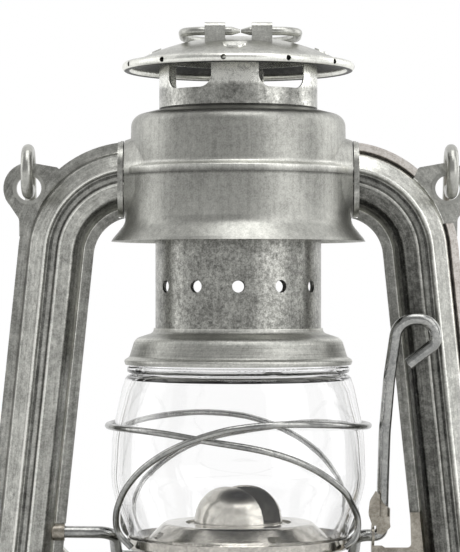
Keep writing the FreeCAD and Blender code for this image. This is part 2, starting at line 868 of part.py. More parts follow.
def make_globe(parts):
    plate_low = [
        at(plate_radius, plate_rim),
        (at(plate_radius, plate_floor - sheet), 0.9),
        (at(plate_channel, plate_floor - sheet), 0.9),
        (at(plate_cone, plate_deck - sheet), 1.2),
        at(plate_hole, plate_deck - sheet)]
    side = vent_width / 2
    low = vent_height - vent_rise / 2
    vent = plate([(at(-side, low), vent_rise / 2.1), (at(side, low), vent_rise / 2.1),
                  (at(side, low + vent_rise), vent_rise / 2.1), (at(-side, low + vent_rise), vent_rise / 2.1)],
                 plate_hole, plate_channel)
    parts["globe_plate"] = spun(plate_low, -sheet).cut(ring_of(vent, vents, vent_turn - 90))
    lip_low = cup_bottom - 2.0
    lip_high = cup_bottom - slide_gap
    lip = turned(polygon([at(globe_neck - 0.5, lip_low), (at(lip_radius, lip_low), 0.6),
                          (at(lip_radius, lip_high), 0.6), at(globe_neck - 0.5, lip_high)]))
    parts["globe"] = joined([spun(globe_outline(), globe_wall), lip])
    guard = bent(guard_route(), guard_wire / 2)
    parts["guard_wire_right"] = guard
    parts["guard_wire_left"] = rotated(guard, 180)
    above = rounded(plate_low)
    top = plate_deck + 5
    above.append(Part.makeLine(plate_low[-1], at(plate_hole, top)))
    above.append(Part.makeLine(at(plate_hole, top), at(plate_radius, top)))
    above.append(Part.makeLine(at(plate_radius, top), plate_low[0]))
    above = turned(face_of(above))
    bar = crank_point()
    slot_low = bar.y - wire / 2 - slide_gap
    slot_high = crank_length + wire / 2 + slide_gap
    drop = wire / 2 + rest_gap
    clips = []
    for side in (-1, 1):
        x = side * clip_x - clip_sheet / 2
        z = bar.z - (left_end + side * clip_x) * math.tan(math.radians(lever_lean))
        clip = block(V(x, slot_low - 1.1, z - drop - 1.2), V(x + clip_sheet, slot_high + 1.1, plate_deck))
        slot = block(V(x, slot_low, z - drop), V(x + clip_sheet, slot_high, z + drop))
        clips.append(clip.cut(slot).cut(above))
    parts["bar_clips"] = Part.Compound(clips)


# Lift wire with its lever
def crank_point():
    """Where the cross bar lies at rest."""
    angle = math.radians(crank_angle)
    return V(0, crank_length * math.cos(angle), pivot_height - crank_length * math.sin(angle))


def lever_point(x, height):
    """A point of the lever, whose plane leans to the front of the tube."""
    return V(x, -(height - pivot_height) * math.tan(math.radians(lever_tilt)), height)


def leaned(shape):
    """A piece turned so that the lift wire's right end lies lower than its left end."""
    return rotated(shape, lever_lean, V(-left_end, 0, pivot_height), Y)


def make_lever(parts):
    bar = crank_point()
    pivot = V(0, 0, pivot_height)
    route = [
        pivot - X * left_end,
        (pivot - X * crank_left, 4.0),
        (bar - X * crank_left, 2.5),
        (bar + X * crank_right, 2.5),
        (pivot + X * crank_right, 3.4),
        (pivot + X * lever_x, 1.9),
        (lever_point(lever_x, 63.5), 60.0),
        (lever_point(lever_x + 0.1, 76.0), 60.0),
        (lever_point(lever_x + 0.95, 90.0), 60.0),
        (lever_point(lever_x + 2.75, 104.5), 4.8),
        (lever_point(lever_x + 12.05, 104.2), 4.4),
        (lever_point(lever_x + 12.2, 98.5), 3.0),
        lever_point(lever_x + 5.6, 93.2)]
    parts["lift_wire"] = leaned(bent(route, wire / 2))
    inner = wire / 2
    outer = inner + clasp_sheet
    foot = at(lever_x, pivot_height)
    bottom = flank_round + rest_gap
    half = Part.makeCylinder(outer, 9.0, foot + Z * bottom).cut(Part.makeCylinder(inner, 9.0, foot + Z * bottom))
    half = half.common(block(foot + V(-outer, -outer, 0), foot + V(outer, 0, 13)))
    slant = plate([foot + V(-outer - 1, 0, 12.0), foot + V(outer + 1, 0, 5.9),
                   foot + V(outer + 1, 0, 14), foot + V(-outer - 1, 0, 14)], -outer - 1, outer + 1)
    nib = plate([foot + V(-1.4, 0, 1.0), foot + V(0.2, 0, 0.7), (foot + V(2.0, 0, 2.7), 0.5),
                 foot + V(1.6, 0, 5.4), foot + V(-1.4, 0, 5.4)], -outer, -inner)
    leaf = plate([foot + V(-2.6, 0, bottom), (foot + V(-3.6, 0, 6.0), 3.0), (foot + V(-3.3, 0, 9.4), 3.0),
                  foot + V(-1.9, 0, 11.9), foot + V(-0.8, 0, 11.0), foot + V(-0.8, 0, bottom)], -outer, -inner)
    clasp = joined([half.cut(slant), nib, leaf])
    parts["lever_clasp"] = leaned(rotated(clasp, lever_tilt, pivot, X))
    make_bracket(parts)


def make_bracket(parts):
    bore = wire / 2 + running_gap
    axle = pivot_height - (left_end + flank_x) * math.tan(math.radians(lever_lean))
    front = -sheet - bracket_sheet
    arm_top = pivot_height + 4.9
    low = pivot_height - 9.3
    web_top = pivot_height - 3.9
    edge = inner_edge
    strap = plate([at(line_at(arm_top) - edge, arm_top), at(line_at(arm_top) - edge + 2.3, arm_top),
                   at(line_at(low + 3) - edge + 2.3, low + 3), at(line_at(low + 3) - edge + 2.0, low),
                   at(flank_x, low), at(flank_x, web_top + 0.5), (at(flank_x + 2.6, web_top + 0.5), 0.5),
                   (at(flank_x + 3.2, web_top), 0.8), (at(line_at(web_top) - edge - 0.6, web_top), 1.0)],
                  front, -sheet)
    flank = block(V(flank_x, front, low), V(flank_x + flank_sheet, flank_round - 0.1, axle))
    flank = flank.fuse(rod(V(flank_x, 0, axle), V(flank_x + flank_sheet, 0, axle), flank_round))
    hole = rod(V(-left_end, 0, pivot_height), V(crank_right + lever_x, 0, pivot_height), bore)
    flank = flank.cut(leaned(hole))
    parts["lever_bracket"] = joined([strap, flank])
    start = V(-bearing_start(), 0, pivot_height)
    tube = rod(start, start - X * bearing_length, bore + bearing_wall)
    parts["lift_wire_bearing"] = leaned(tube.cut(rod(start + X, start - X * (bearing_length + 1), bore)))


# Burner
def along(distance, offset, height):
    """A point along the wick's width, off to its side, at a height."""
    return polar(distance, slot_turn, height) + polar(offset, slot_turn + 90)


def slab(half_width, half_thick, low, high):
    """A flat upright bar along the wick's direction."""
    return rotated(block(V(-half_width, -half_thick, low), V(half_width, half_thick, high)), slot_turn)


def make_burner(parts):
    foot = cover_top + collar_rise
    seat = dome_seat - sheet
    inner = burner_radius - sheet
    shell = joined([
        pipe(inner, burner_foot, foot, foot + 0.7),
        pipe(inner, burner_radius, foot, seat),
        pipe(collar_radius - sheet, collar_radius, foot - 1.2, foot)])
    hole = rod(at(inner - 1, draught_height), at(burner_radius + 1, draught_height), draught_hole)
    wheel_off = wick_thick / 2 + rest_gap + wheel_radius
    spindle_start = along(-spindle_inside, wheel_off, spindle_height)
    spindle_end = along(knob_reach + knob_thick, wheel_off, spindle_height)
    gland_rod = rod(along(burner_radius / 2, wheel_off, spindle_height),
                    along(gland_end, wheel_off, spindle_height), gland_radius)
    bore = rod(spindle_start, spindle_end, spindle_radius + running_gap)
    solid = Part.makeCylinder(burner_radius, seat - foot, V(0, 0, foot))
    shell = shell.cut(ring_of(hole, draught_holes)).cut(bore)
    parts["burner_shell"] = shell
    parts["spindle_gland"] = gland_rod.cut([solid, bore])
    cap = [
        at(0, dome_top),
        (at(dome_base, dome_top), dome_round),
        (at(dome_base, dome_seat), 0.4),
        at(dome_flange, dome_seat)]
    slot = slab(dome_base + 2, slot_width / 2, slot_bottom, dome_top + 1)
    parts["burner_dome"] = spun(cap, -sheet).cut(slot)
    half_w = wick_width / 2 + wick_gap
    half_t = wick_thick / 2 + wick_gap
    wall = 0.4
    tube = slab(half_w + wall, half_t + wall, wick_tube_bottom, wick_tube_top)
    bore_slab = slab(half_w, half_t, wick_tube_bottom, wick_tube_top)
    windows = [rod(along(s * wheel_place - wheel_thick / 2 - rest_gap, wheel_off, spindle_height),
                   along(s * wheel_place + wheel_thick / 2 + rest_gap, wheel_off, spindle_height),
                   wheel_radius + rest_gap) for s in (-1, 1)]
    parts["wick_tube"] = tube.cut([bore_slab] + windows)
    holder = Part.makeCylinder(holder_radius, tank_sheet, V(0, 0, neck_top))
    parts["wick_holder"] = holder.cut(tube)
    parts["wick"] = slab(wick_width / 2, wick_thick / 2, wick_bottom, wick_top)
    parts["wick_spindle"] = rod(spindle_start, spindle_end, spindle_radius)
    parts["wick_wheels"] = Part.Compound([toothed(s, wheel_off) for s in (-1, 1)])
    knob = rod(along(knob_reach, wheel_off, spindle_height), spindle_end, knob_radius)
    notch = rod(along(knob_reach - 1, wheel_off + knob_radius + 0.2, spindle_height),
                along(knob_reach + knob_thick + 1, wheel_off + knob_radius + 0.2, spindle_height), 0.5)
    axis = polar(1, slot_turn)
    notches = [rotated(notch, i * 360 / knob_notches, spindle_end, axis) for i in range(knob_notches)]
    parts["wick_knob"] = knob.cut(notches + [parts["wick_spindle"]])


def toothed(side, offset):
    """One of the two spur wheels that grip the wick."""
    middle = along(side * wheel_place - wheel_thick / 2, offset, spindle_height)
    axis = polar(1, slot_turn)
    wheel = Part.makeCylinder(wheel_radius, wheel_thick, middle, axis)
    across = polar(1, slot_turn + 90)
    gash = rod(middle - axis + across * (wheel_radius + 0.1), middle + axis * 3 + across * (wheel_radius + 0.1), 0.6)
    gashes = [rotated(gash, i * 360 / wheel_teeth, middle, axis) for i in range(wheel_teeth)]
    bore = Part.makeCylinder(spindle_radius, wheel_thick, middle, axis)
    return wheel.cut(gashes + [bore])


# Bail
def shoulder_centre():
    """Centre of the round on the air chamber's shoulder, where the bail leans at rest."""
    lower = at(cover_foot, tank_height + cover_ledge + cover_step)
    corner = at(shoulder_radius, shoulder_height)
    upper = at(collar_radius + sheet, cover_top)
    before = (corner - lower).normalize()
    after = (upper - corner).normalize()
    inward = (after - before).normalize()
    return corner + inward * (shoulder_round / math.cos(before.getAngle(after) / 2))


def eye(side):
    """The open eye at one end of the bail, from its free tip to the leg."""
    turns = [eye_start - eye_bend * i for i in range(eye_bends + 1)] + [eye_end]
    first = math.radians(eye_start)
    x = side * bail_x
    spots = [V(x, eye_radius * math.cos(first), eye_radius * math.sin(first))]
    for start, end in zip(turns, turns[1:]):
        size = eye_radius / math.cos(math.radians((start - end) / 2))
        angle = math.radians((start + end) / 2)
        spots.append((V(x, size * math.cos(angle), size * math.sin(angle)), eye_radius))
    return spots


def make_bail(parts):
    off = shoulder_round + wire / 2 + rest_gap
    turn = math.radians(seat_turn)
    seat = shoulder_centre() + at(off * math.cos(turn), off * math.sin(turn))
    fall = bail_pivot - seat.z
    length = math.sqrt(seat.x ** 2 + fall ** 2 - eye_radius ** 2)
    lean = math.degrees(math.atan2(seat.x, fall) - math.atan2(eye_radius, length))
    rise = math.atan2(bail_crown, bail_x)
    low = length + bail_crown_round * (1 / math.cos(rise) - 1)
    side = low - bail_crown
    route = eye(1) + [
        (V(bail_x, eye_radius, -side), bail_corner),
        (V(0, eye_radius, -low), bail_crown_round),
        (V(-bail_x, eye_radius, -side), bail_corner)] + list(reversed(eye(-1)))
    bail = bent(route, wire / 2)
    bail.translate(V(bail_shift, 0, bail_pivot))
    parts["bail"] = rotated(bail, lean, V(0, 0, bail_pivot), X)


def main():
    parts = {}
    cap, skirt, swelling = hood_solids(0.0)
    cover_solid = filled(cover_outline())
    make_tank(parts)
    make_filler(parts)
    make_tubes(parts, cap.fuse(skirt), cover_solid)
    make_hood(parts, cap, skirt, swelling)
    make_chimney(parts)
    make_crown(parts)
    make_globe(parts)
    make_lever(parts)
    make_burner(parts)
    make_bail(parts)
    os.makedirs("parts", exist_ok=True)
    for name, shape in sorted(parts.items()):
        solids = shape.Solids
        good = all(s.isValid() and s.Volume > 0 for s in solids)
        print(name, len(solids), "solids", round(sum(s.Volume for s in solids), 1), "mm3",
              "ok" if good and solids else "BAD")
        shape.exportStep("parts/" + name + ".step")


main()
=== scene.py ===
# %% [markdown]
# # A small oil lantern
# The lantern's parts come finished from its maker's drawing: sheet metal, bent wire and glass, each a
# node with its real size. What is left to do here is what the eye reads as old tinned steel, polished
# wire and clear glass, under the light of a product photograph.

# %% Load the frame
import bpy
import math
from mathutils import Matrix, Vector


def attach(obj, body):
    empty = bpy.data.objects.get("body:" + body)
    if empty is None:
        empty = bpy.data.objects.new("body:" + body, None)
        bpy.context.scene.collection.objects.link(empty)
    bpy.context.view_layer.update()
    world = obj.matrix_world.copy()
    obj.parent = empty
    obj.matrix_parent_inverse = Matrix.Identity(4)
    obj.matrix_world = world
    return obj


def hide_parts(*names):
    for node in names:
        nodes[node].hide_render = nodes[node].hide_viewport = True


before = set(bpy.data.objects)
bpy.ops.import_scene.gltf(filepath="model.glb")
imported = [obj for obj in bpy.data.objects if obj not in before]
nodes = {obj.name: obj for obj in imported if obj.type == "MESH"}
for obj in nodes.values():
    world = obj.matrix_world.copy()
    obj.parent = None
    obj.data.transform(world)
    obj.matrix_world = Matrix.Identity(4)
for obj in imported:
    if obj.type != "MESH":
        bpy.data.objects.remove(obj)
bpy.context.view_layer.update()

# %% [markdown]
# ## The camera
# The photograph was taken from about 0.6 m with a long lens, level, and a little above the middle of
# the globe. A level camera keeps the side tubes from leaning, and a small lens shift sets the horizon
# where the photograph has it, as a view camera does. The picture cuts the lantern's foot off.

# %% Camera
picture_width = 460
picture_height = 552
pixels_per_mm = 4.0
camera_distance = 0.615
focal_pixels = pixels_per_mm * camera_distance * 1000
horizon_pixel = 292.0
camera_height = 0.110
axis_pixel = 238.3
sensor = 36.0

bpy.ops.object.select_all(action="DESELECT")
offset = (picture_width / 2 - axis_pixel) / pixels_per_mm / 1000
bpy.ops.object.camera_add(location=(offset, -camera_distance, camera_height),
                          rotation=(math.radians(90), 0, 0))
camera = bpy.context.object
camera.name = "camera"
camera.data.sensor_width = sensor
camera.data.lens = sensor * focal_pixels / picture_height
camera.data.shift_y = (horizon_pixel - picture_height / 2) / picture_height
camera.data.clip_start = 0.01
bpy.context.scene.camera = camera
bpy.context.scene.view_settings.view_transform = "Standard"
print("lens", round(camera.data.lens, 1), "mm, shift", round(camera.data.shift_y, 4))

# %% [markdown]
# ## Adding nodes
# A material is a chain of nodes. One helper adds a node, sets its values and links its inputs, so that
# each material below reads as a list of what its surface is made of. Colours are written as the eye
# sees them on a screen and turned to the linear values that light adds up in.

# %% Colour and node helpers
def colour(text):
    """An sRGB hex colour as linear values."""
    parts = [int(text[i:i + 2], 16) / 255 for i in (1, 3, 5)]
    linear = [p / 12.92 if p <= 0.04045 else ((p + 0.055) / 1.055) ** 2.4 for p in parts]
    return (*linear, 1.0)


def add(tree, kind, *values, stops=(), **named):
    """Adds a node. Values fill its inputs in order, and a name is one of its settings or inputs."""
    node = tree.nodes.new("ShaderNode" + kind)
    inputs = list(enumerate(values))
    for name, value in named.items():
        if hasattr(node, name):
            setattr(node, name, value)
        else:
            inputs.append((name.replace("_", " "), value))
    for key, value in inputs:
        if isinstance(value, bpy.types.Node):
            value = value.outputs[0]
        if isinstance(value, bpy.types.NodeSocket):
            tree.links.new(value, node.inputs[key])
        else:
            node.inputs[key].default_value = value
    for number, (place, tone) in enumerate(stops):
        elements = node.color_ramp.elements
        stop = elements[number] if number < 2 else elements.new(place)
        stop.position = place
        stop.color = colour(tone) if isinstance(tone, str) else (tone, tone, tone, 1.0)
    return node


def new_material(name):
    """An empty material, and the tree that its nodes go in."""
    material = bpy.data.materials.new(name)
    material.use_nodes = True
    material.node_tree.nodes.clear()
    return material, material.node_tree


def dress(material, *names):
    """Gives CAD nodes a material."""
    for name in names:
        slots = nodes[name].data.materials
        slots.clear()
        slots.append(material)
    print(material.name, "on", len(names), "pieces")


# %% [markdown]
# ## What bare tinned steel looks like
# The sheet was dipped or plated with tin and pressed, and then left bare. Age gives it three kinds of
# unevenness, each with its own size: clouds of a few millimetres where the film is thin, mottles of
# about a millimetre, and a fine grit that sparkles because each grain tilts its own way. Rolling,
# turning and rubbing add streaks. All four only move one grey level up and down, a ramp turns that
# level into colour, and the dull places are rougher than the worn ones.

# %% Tinned steel and wire
tin_tones = [(0.0, "#0d0d0c"), (0.2, "#323230"), (0.4, "#63635f"), (0.6, "#94948f"), (0.8, "#c3c3bd"),
             (1.0, "#f6f6ef")]


def bare_metal(name, level, patch, mottle, grit, streak=None, stretch=(1, 1, 1), streak_share=0.0,
               roughness=(0.5, 0.3), relief=0.012, tones=tin_tones):
    """Metal whose grey level is a number or comes from a function of tree and millimetres.
    patch, mottle and grit are each a size in mm and a share of the grey scale. stretch is
    how many streaks a millimetre holds along each axis, and relief is the bump in mm."""
    material, tree = new_material(name)
    spot = add(tree, "TexCoord").outputs["Object"]
    millimetres = add(tree, "VectorMath", spot, (1000, 1000, 1000), operation="MULTIPLY")
    tone = level(tree, millimetres) if callable(level) else add(tree, "Math", level, 0.0)
    for size, share, depth in (*patch, 2.0), (*mottle, 4.0), (*grit, 2.0):
        cloud = add(tree, "TexNoise", Vector=millimetres, Scale=1 / size, Detail=depth, Roughness=0.6)
        part = add(tree, "Math", cloud, 2.5 * share, -1.25 * share, operation="MULTIPLY_ADD")
        tone = add(tree, "Math", tone, part)
    run = streak(tree, millimetres) if streak else millimetres
    run = add(tree, "VectorMath", run, stretch, operation="MULTIPLY")
    lines = add(tree, "TexNoise", Vector=run, Scale=1.0, Detail=3.0, Roughness=0.65)
    part = add(tree, "Math", lines, 2.5 * streak_share, -1.25 * streak_share, operation="MULTIPLY_ADD")
    tone = add(tree, "Math", tone, part)
    ramp = add(tree, "ValToRGB", tone, stops=tones)
    rough = add(tree, "MapRange", tone, 0.2, 0.8, roughness[0], roughness[1])
    height = add(tree, "Math", cloud, lines)
    bump = add(tree, "Bump", Height=height, Strength=1.0, Distance=relief / 1000)
    shader = add(tree, "BsdfPrincipled", Base_Color=ramp, Metallic=1.0, Roughness=rough, Normal=bump)
    add(tree, "OutputMaterial", shader)
    return material


# %% [markdown]
# ## The side tubes
# Each tube is two pressed half shells, soldered along their flanges. The press leaves ribs and grooves
# that follow the bend. The ribs are drawn bright, part wear and part painted highlight, and the grooves
# dark, part dirt and part painted shade, and the right tube's inner face is painted darker as shade. So
# these bands are drawn across the tube: the distance from the tube's centre line is worked out
# from the place, through the top bend, the straight run and the lower bend.

# %% Place across and along a side tube, in mm
bend_x = 26.1
bend_z = 118.6
top_bend = 19.5
low_bend = 18.4
straight = 77.2
splay = math.radians(5.9)


def along_tube(tree, millimetres):
    """Vector of distance outward from the centre line, depth, and length down the tube."""
    axes = add(tree, "SeparateXYZ", millimetres)
    side = add(tree, "Math", axes.outputs["X"], operation="ABSOLUTE")
    side = add(tree, "Math", side, bend_x, operation="SUBTRACT")
    rise = add(tree, "Math", axes.outputs["Z"], bend_z, operation="SUBTRACT")
    out = add(tree, "Math", rise, math.sin(splay), operation="MULTIPLY")
    out = add(tree, "Math", side, math.cos(splay), out, operation="MULTIPLY_ADD")
    down = add(tree, "Math", rise, -math.cos(splay), operation="MULTIPLY")
    down = add(tree, "Math", side, math.sin(splay), down, operation="MULTIPLY_ADD")
    above = add(tree, "Math", down, 0.0, operation="MINIMUM")
    below = add(tree, "Math", down, straight, operation="SUBTRACT")
    below = add(tree, "Math", below, 0.0, operation="MAXIMUM")
    top = add(tree, "CombineXYZ", out, above, 0.0)
    top = add(tree, "VectorMath", top, operation="LENGTH").outputs["Value"]
    inner = add(tree, "Math", out, top_bend - low_bend, operation="SUBTRACT")
    low = add(tree, "CombineXYZ", inner, below, 0.0)
    low = add(tree, "VectorMath", low, operation="LENGTH").outputs["Value"]
    distance = add(tree, "Math", top, low)
    distance = add(tree, "Math", distance, inner, operation="SUBTRACT")
    distance = add(tree, "Math", distance, top_bend, operation="SUBTRACT")
    angle = add(tree, "Math", above, out, operation="ARCTAN2")
    length = add(tree, "Math", angle, top_bend, down, operation="MULTIPLY_ADD")
    return add(tree, "CombineXYZ", distance, axes.outputs["Y"], length)


half_span = 10.0


def across(bands):
    """A grey level that changes across the tube: bands are distances outward in mm and levels."""
    stops = [((place + half_span) / (2 * half_span), level) for place, level in sorted(bands)]

    def place(tree, millimetres):
        run = along_tube(tree, millimetres)
        distance = add(tree, "SeparateXYZ", run).outputs["X"]
        share = add(tree, "MapRange", distance, -half_span, half_span, 0.0, 1.0)
        return add(tree, "ValToRGB", share, stops=stops)
    return place


# %% Tube materials
# Painted highlights on the ribs and painted shade in the grooves, mixed with real wear and dirt. The
# right tube's set is darker on its inner face, as painted shade.
left_wear_and_painted_light_bands = [(-9.2, 0.6), (-7.2, 0.62), (-7.0, 0.84), (-6.6, 0.84), (-6.3, 0.62), (-5.7, 0.6),
              (-5.5, 0.46), (-4.6, 0.48), (-4.4, 0.68), (-1.5, 0.66), (-1.3, 0.98), (-0.95, 0.98),
              (-0.7, 0.5), (-0.3, 0.5), (-0.1, 0.68), (0.6, 0.68), (0.8, 0.42), (1.3, 0.42),
              (1.5, 0.6), (2.2, 0.64), (2.35, 1.02), (2.7, 1.0), (2.9, 0.7), (6.6, 0.66),
              (7.4, 0.66), (9.4, 0.64)]
right_wear_and_painted_light_bands = [(-9.2, 0.54), (-7.2, 0.56), (-7.0, 0.8), (-6.6, 0.76), (-6.3, 0.46), (-5.7, 0.44),
               (-5.5, 0.2), (-4.6, 0.22), (-4.4, 0.42), (-1.5, 0.42), (-1.3, 0.68), (-0.8, 0.62),
               (-0.6, 0.34), (-0.3, 0.34), (-0.1, 0.5), (0.6, 0.5), (0.8, 0.3), (1.3, 0.3),
               (1.5, 0.62), (2.3, 0.7), (2.5, 0.98), (2.75, 0.98), (2.95, 0.84), (6.6, 0.86),
               (7.4, 0.72), (9.4, 0.76)]
left_shell = bare_metal("pressed tinned steel, left tube", across(left_wear_and_painted_light_bands),
                        patch=(7, 0.12), mottle=(1.3, 0.16), grit=(0.4, 0.14),
                        streak=along_tube, stretch=(1.6, 1.6, 0.07), streak_share=0.16,
                        roughness=(0.5, 0.32))
right_shell = bare_metal("pressed tinned steel, right tube", across(right_wear_and_painted_light_bands),
                         patch=(7, 0.12), mottle=(1.3, 0.16), grit=(0.4, 0.14),
                         streak=along_tube, stretch=(1.6, 1.6, 0.07), streak_share=0.16,
                         roughness=(0.5, 0.32))
dress(left_shell, "left_tube_front", "left_tube_back")
dress(right_shell, "right_tube_front")

# %% [markdown]
# ## The right tube's rear half
# The rear half of the right tube is folded over the front one as a hem. Its edge is a little warmer
# than the rest, with a dark line where the fold ends.

# %% Hemmed half
hem_tones = [(0.0, "#100f0d"), (0.3, "#4c4844"), (0.6, "#a59f97"), (0.85, "#d8d1c8"), (1.0, "#f7f2ec")]
hem_bands = [(-9.2, 0.6), (7.0, 0.7), (7.2, 0.3), (7.5, 0.3), (7.7, 0.94), (9.6, 0.94)]
hem_shell = bare_metal("pressed tinned steel, hemmed half", across(hem_bands),
                       patch=(7, 0.12), mottle=(1.3, 0.18), grit=(0.4, 0.14),
                       streak=along_tube, stretch=(1.6, 1.6, 0.07), streak_share=0.12,
                       roughness=(0.5, 0.36), tones=hem_tones)
dress(hem_shell, "right_tube_back")

# %% [markdown]
# ## The hood
# The hood was spun or drawn on a lathe, so it is the smoothest and lightest sheet here, with a fine
# even grit and faint drips down its side. Its rounded steps carry painted highlights, with a painted
# shade line under the bead.

# %% Hood
def by_height(bands):
    """A grey level that changes with height in mm."""
    low = min(bands)[0]
    high = max(bands)[0]
    stops = [((height - low) / (high - low), level) for height, level in sorted(bands)]

    def place(tree, millimetres):
        height = add(tree, "SeparateXYZ", millimetres).outputs["Z"]
        share = add(tree, "MapRange", height, low, high, 0.0, 1.0)
        return add(tree, "ValToRGB", share, stops=stops)
    return place


# Painted highlights on the flare, the bead and the top rounding, and a painted shade line under the bead
# at 138.9 mm.
hood_painted_light_bands = [(122, 0.7), (124, 0.72), (131, 0.68), (138.4, 0.64), (138.9, 0.46), (139.3, 0.56),
              (140.4, 0.86), (141.5, 0.88), (142.4, 0.67), (152, 0.67), (155, 0.76)]
hood_tin = bare_metal("spun tinned steel, hood", by_height(hood_painted_light_bands),
                      patch=(9, 0.06), mottle=(1.4, 0.08), grit=(0.38, 0.11),
                      stretch=(0.9, 0.9, 0.06), streak_share=0.07, roughness=(0.48, 0.38))
dress(hood_tin, "hood_cap", "hood_skirt")

# %% [markdown]
# ## The chimney
# The chimney tube sits over the flame. Heat has stained the tin, so its mottles are the strongest on
# the lantern. The cup at its foot was turned on a lathe, which left fine rings, and heat darkened it.

# %% Chimney, cup and inner sleeves
chimney_tin = bare_metal("heat mottled tinned steel, chimney", 0.63,
                         patch=(5, 0.14), mottle=(0.9, 0.26), grit=(0.36, 0.22),
                         stretch=(1.2, 1.2, 0.1), streak_share=0.08, roughness=(0.42, 0.28))
# Painted highlights: the cup is lighter in narrow bands at 93.5, 98.3 and 101 mm.
cup_painted_highlight_bands = [(91, 0.7), (93.5, 0.84), (94.4, 0.7), (97, 0.72), (98.3, 0.88), (99, 0.74),
             (100.2, 0.74), (101, 0.86)]
cup_tin = bare_metal("turned tinned steel, cup", by_height(cup_painted_highlight_bands),
                     patch=(6, 0.08), mottle=(1.0, 0.1), grit=(0.36, 0.12),
                     stretch=(0.05, 0.05, 3.0), streak_share=0.14, roughness=(0.56, 0.42))
dark_tin = bare_metal("sooted tinned steel, inside", 0.36,
                      patch=(6, 0.12), mottle=(1.2, 0.12), grit=(0.4, 0.1), roughness=(0.6, 0.45))
dress(chimney_tin, "chimney_tube")
dress(cup_tin, "chimney_cup")
dress(dark_tin, "draught_sleeve", "chimney_guide")

# %% [markdown]
# ## The canopy
# The crown with its four windows and the domed canopy take the hot air, so their tin has run into
# shiny blotches. The straps and the ring are handled and stay lighter.

# %% Crown, canopy and ring
canopy_bands = [(165, 0.98), (166.6, 0.94), (167.4, 0.78), (168.2, 0.7), (170, 0.74), (174, 0.8)]
crown_bands = [(155, 0.66), (160.2, 0.68), (161.2, 0.96), (166, 0.96)]
# Painted shade on the canopy's underside, darkest where it faces straight down.
underside_shade_starts = -0.75
underside_shade_full = -0.9
underside_shade_tone = 0.2


def painted_shade_below(tree, millimetres):
    """The canopy's grey level: by height where it faces up or out, and darkened with painted shade where
    it faces down.
    """
    clean = by_height(canopy_bands)(tree, millimetres)
    facing = add(tree, "SeparateXYZ", add(tree, "NewGeometry").outputs["Normal"]).outputs["Z"]
    underside_shade = add(tree, "MapRange", facing, underside_shade_full, underside_shade_starts, underside_shade_tone, 1.0)
    return add(tree, "Math", clean, underside_shade, operation="MULTIPLY")


crown_tin = bare_metal("blotched tinned steel, crown", by_height(crown_bands),
                       patch=(3.5, 0.2), mottle=(1.0, 0.26), grit=(0.36, 0.2), roughness=(0.46, 0.26))
canopy_tin = bare_metal("pressed tinned steel, canopy", painted_shade_below,
                        patch=(7, 0.1), mottle=(1.2, 0.12), grit=(0.36, 0.12), roughness=(0.46, 0.32))
ring_tin = bare_metal("tinned wire, ring", 0.74,
                      patch=(5, 0.1), mottle=(0.9, 0.12), grit=(0.3, 0.08), roughness=(0.42, 0.3))
dress(crown_tin, "crown")
dress(canopy_tin, "canopy", "ring_straps")
dress(ring_tin, "top_ring")

# %% [markdown]
# ## Collars and ears
# The collars were soldered round the tubes where they enter the hood. The eyelets and the bail that
# turns in them are bare steel wire and tube, polished by each other.

# %% Collars, eyelets and bail
collar_tin = bare_metal("soldered tinned steel, collars", 0.7,
                        patch=(4, 0.12), mottle=(1.0, 0.14), grit=(0.36, 0.12), roughness=(0.46, 0.3))
bail_steel = bare_metal("zinc plated wire, bail", 0.72,
                        patch=(5, 0.08), mottle=(1.0, 0.1), grit=(0.3, 0.06), roughness=(0.4, 0.28))
dress(collar_tin, "left_tube_collar", "right_tube_collar")
dress(bail_steel, "bail", "ear_eyelets")

# %% [markdown]
# ## Lever and lift wires
# The lever and the wires that cross the globe are drawn steel wire. Drawing pulls fine lines along
# the wire and leaves it dark and shiny, so it mirrors a bright line on top and black below.

# %% Wires
wire_tones = [(0.0, "#0c0d0e"), (0.3, "#3a3b3d"), (0.6, "#8a8b8a"), (0.85, "#c4c4c0"), (1.0, "#efeee8")]
drawn_wire = bare_metal("drawn steel wire", 0.7,
                        patch=(6, 0.12), mottle=(0.8, 0.16), grit=(0.3, 0.1),
                        roughness=(0.34, 0.18), relief=0.006, tones=wire_tones)
warm_tones = [(0.0, "#12100d"), (0.3, "#47433d"), (0.6, "#999388"), (0.85, "#ccc7bc"), (1.0, "#f2eee3")]
clasp_steel = bare_metal("bent sheet steel, clasp", 0.66,
                         patch=(4, 0.14), mottle=(0.8, 0.16), grit=(0.3, 0.1),
                         roughness=(0.44, 0.3), tones=warm_tones)
dress(drawn_wire, "lift_wire", "guard_wire_left", "guard_wire_right")
dress(clasp_steel, "lever_clasp", "lever_bracket", "lift_wire_bearing", "bar_clips")

# %% [markdown]
# ## The burner
# The burner's dome and the plate that carries the globe are thin bright tin plate with a slightly
# yellow film from the heat.

# %% Burner and globe plate
burner_tones = [(0.0, "#0e0d0b"), (0.2, "#363430"), (0.4, "#6c6a64"), (0.6, "#9d9a93"), (0.8, "#cac7bf"),
                (1.0, "#f6f3ea")]
burner_tin = bare_metal("bright tin plate, burner", 0.77,
                        patch=(6, 0.08), mottle=(1.0, 0.08), grit=(0.3, 0.04),
                        roughness=(0.36, 0.24), tones=burner_tones)
plate_tin = bare_metal("bright tin plate, globe plate", 0.72,
                       patch=(6, 0.12), mottle=(1.0, 0.12), grit=(0.3, 0.08),
                       roughness=(0.24, 0.12), tones=burner_tones)
dress(burner_tin, "burner_dome", "burner_shell", "wick_tube", "wick_holder", "spindle_gland",
      "wick_spindle", "wick_wheels", "wick_knob")
dress(plate_tin, "globe_plate")

# %% [markdown]
# ## Tank and air chamber
# The tank is the same tin plate as the hood, below the picture's edge, a little more rubbed.

